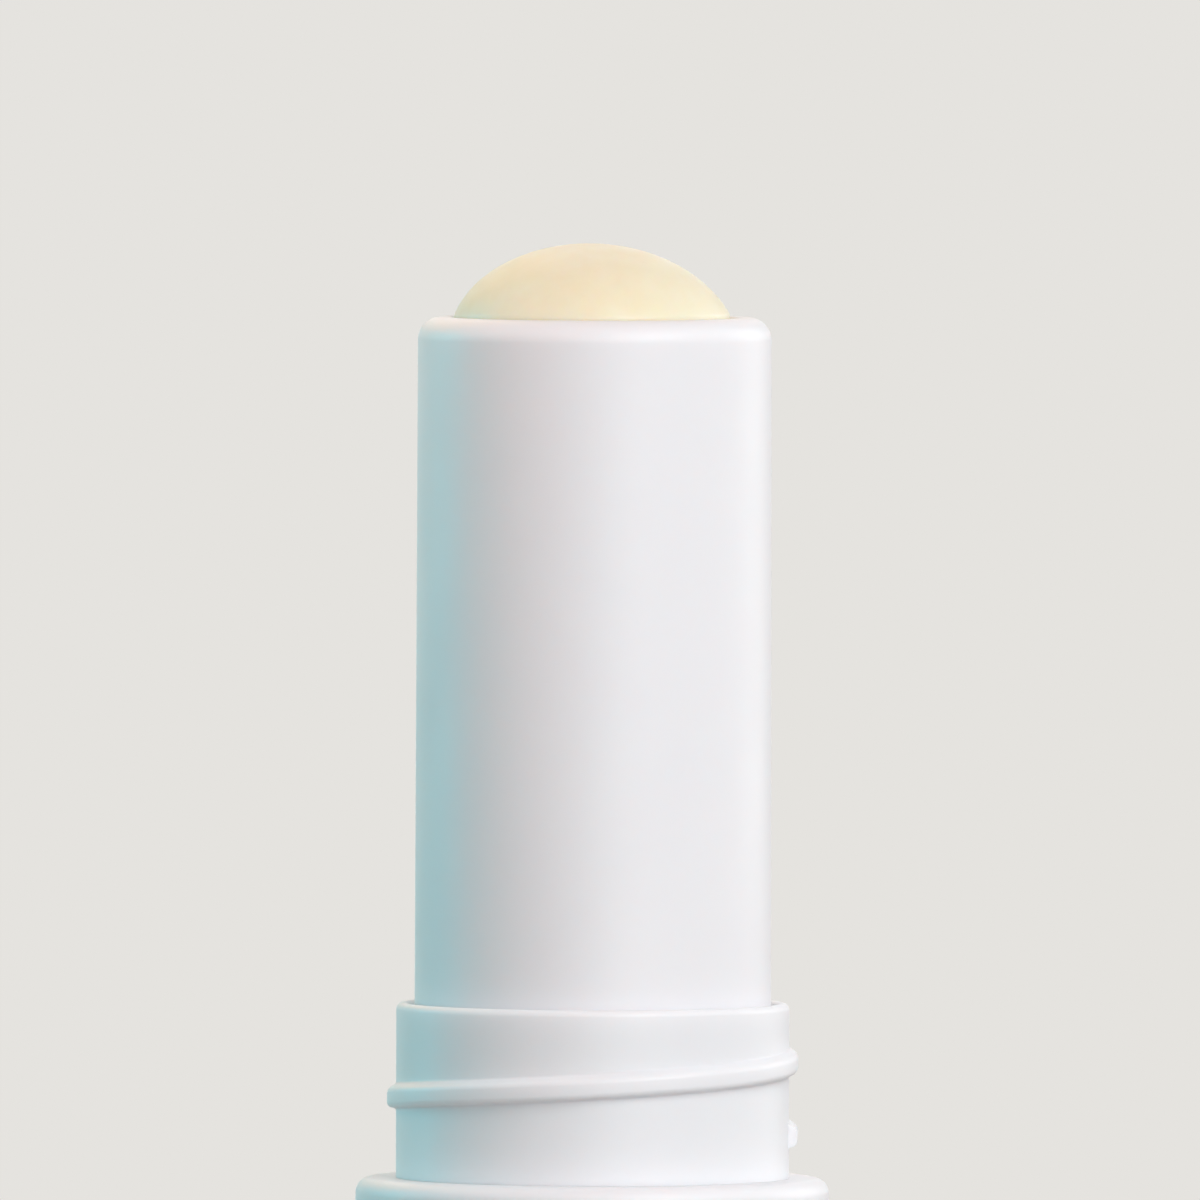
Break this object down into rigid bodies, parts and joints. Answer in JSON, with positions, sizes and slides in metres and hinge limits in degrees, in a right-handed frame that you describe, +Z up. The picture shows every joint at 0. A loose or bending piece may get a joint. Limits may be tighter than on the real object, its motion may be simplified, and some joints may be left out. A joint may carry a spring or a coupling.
{
  "type": "lip balm stick",
  "caption": "Twist-up lip balm stick with its cap off: domed balm in a round tube, threaded neck and wider base, over a screw spindle and lifting cup.",
  "frame": {"origin": "centre of the base's foot, on the surface that the stick stands on", "axes": "+Z up along the stick's axis, +Y away from the pictured side, +X to the right of that view"},
  "size_m": [0.0198, 0.0198, 0.0653],
  "materials": {
    "white_plastic": "satin moulded polypropylene",
    "balm": "smooth translucent wax with a soft sheen",
    "mechanism_plastic": "natural moulded acetal",
    "silicone": "matt silicone"
  },
  "bodies": {
    "base": {"base_shell": "white_plastic", "threaded_neck": "white_plastic", "foot_plug": "white_plastic", "screw_spindle": "mechanism_plastic", "friction_ring": "silicone"},
    "tube": {"guide_tube": "white_plastic"},
    "carriage": {"balm_cup": "mechanism_plastic", "balm": "balm"}
  },
  "joints": [
    {"name": "tube_twist", "type": "hinge", "parent": "base", "child": "tube", "pos_m": [0, 0, 0.0064], "axis": [0, 0, 1], "range_deg": [-432, 2880]},
    {"name": "balm_rise", "type": "slide", "parent": "tube", "child": "carriage", "axis": [0, 0, 1], "range_m": [-0.00481, 0.03201]}
  ],
  "couplings": [
    {"joint": "balm_rise", "follows": "tube_twist", "m_per_rad": 0.00063662}
  ]
}
